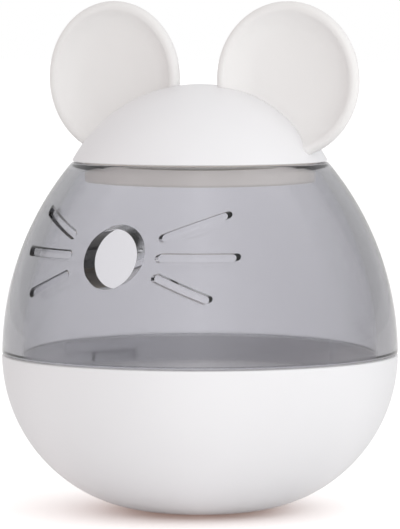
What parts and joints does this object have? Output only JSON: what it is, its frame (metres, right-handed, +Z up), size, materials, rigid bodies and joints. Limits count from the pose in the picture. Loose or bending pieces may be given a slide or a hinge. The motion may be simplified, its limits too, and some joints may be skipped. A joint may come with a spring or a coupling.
{
  "type": "cat slow feeder",
  "caption": "Tumbling cat slow feeder: weighted bowl base, smoke-tinted hopper with a round outlet and whisker grooves, and a push-fit domed lid with round dished ears.",
  "frame": {"origin": "on the table, under the middle of the flat spot that it stands on", "axes": "+Z up, the outlet faces -Y, the ears lie along X"},
  "size_m": [0.1, 0.1, 0.1288],
  "materials": {
    "white_abs": "satin moulded, cool white",
    "ear_white": "soft satin moulded, warm white",
    "smoke_clear": "polished, clear with a smoke tint",
    "cast_iron": "black, as cast",
    "zinc_steel": "zinc plated",
    "silicone": "matt, milky"
  },
  "bodies": {
    "base": {"base_bowl": "white_abs", "counterweight": "cast_iron", "weight_screws": "zinc_steel", "hopper_floor": "white_abs"},
    "hopper": {"hopper_shell": "smoke_clear"},
    "lid": {"lid_dome": "white_abs", "lid_plug": "white_abs", "lid_seal": "silicone", "plug_screws": "zinc_steel", "left_ear": "ear_white", "right_ear": "ear_white"}
  },
  "joints": [
    {"name": "hopper_twist", "type": "hinge", "parent": "base", "child": "hopper", "pos_m": [0, 0, 0.037], "axis": [0, 0, 1], "range_deg": [0, 30]},
    {"name": "lid_lift", "type": "slide", "parent": "hopper", "child": "lid", "axis": [0, 0, 1], "range_m": [0, 0.045]}
  ]
}
